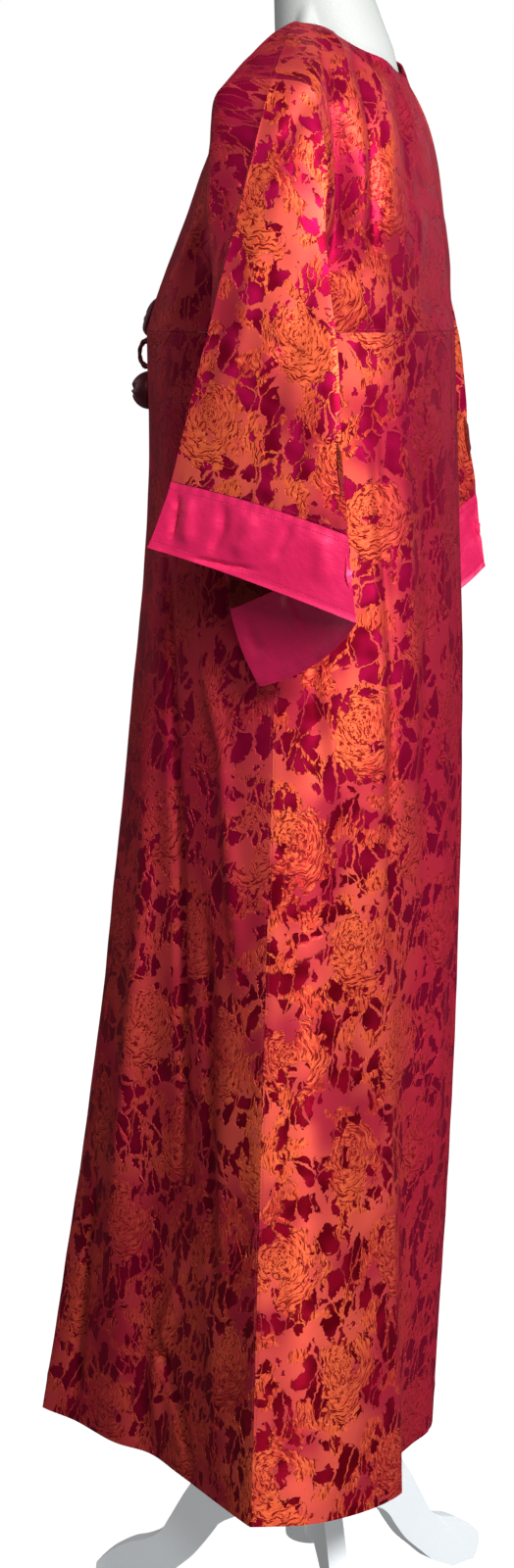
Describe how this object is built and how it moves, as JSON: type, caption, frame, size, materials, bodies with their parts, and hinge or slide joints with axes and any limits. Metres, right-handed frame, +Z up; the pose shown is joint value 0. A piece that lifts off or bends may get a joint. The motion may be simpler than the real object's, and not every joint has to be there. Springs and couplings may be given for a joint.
{
  "type": "brocade evening dress on a dress form with a tripod stand",
  "caption": "Floor-length empire line dress with wide slanting sleeves, satin cuffs and a bow, on a limbless dress form with a tripod stand.",
  "frame": {"origin": "on the floor, under the middle of the whole object's bounding box", "axes": "+Z up, -Y the way the dress faces, +X its wearer's left"},
  "size_m": [0.5846, 0.4492, 1.748],
  "materials": {
    "brocade": "woven, slightly shiny",
    "satin": "satin",
    "bow": "woven",
    "form": "matte",
    "stand": "painted, satin"
  },
  "bodies": {
    "root": {"skirt_front": "brocade", "skirt_back_left": "brocade", "skirt_back_right": "brocade", "bodice_front": "brocade", "bodice_back_left": "brocade", "bodice_back_right": "brocade", "sleeve_left": "brocade", "sleeve_right": "brocade", "cuff_left": "satin", "cuff_right": "satin", "bow_loop_left": "bow", "bow_loop_right": "bow", "bow_lobe_left": "bow", "bow_lobe_right": "bow", "bow_ring": "bow", "form_body": "form", "stand_pole": "stand", "stand_hub": "stand", "stand_leg_1": "stand", "stand_leg_2": "stand", "stand_leg_3": "stand"}
  },
  "joints": []
}
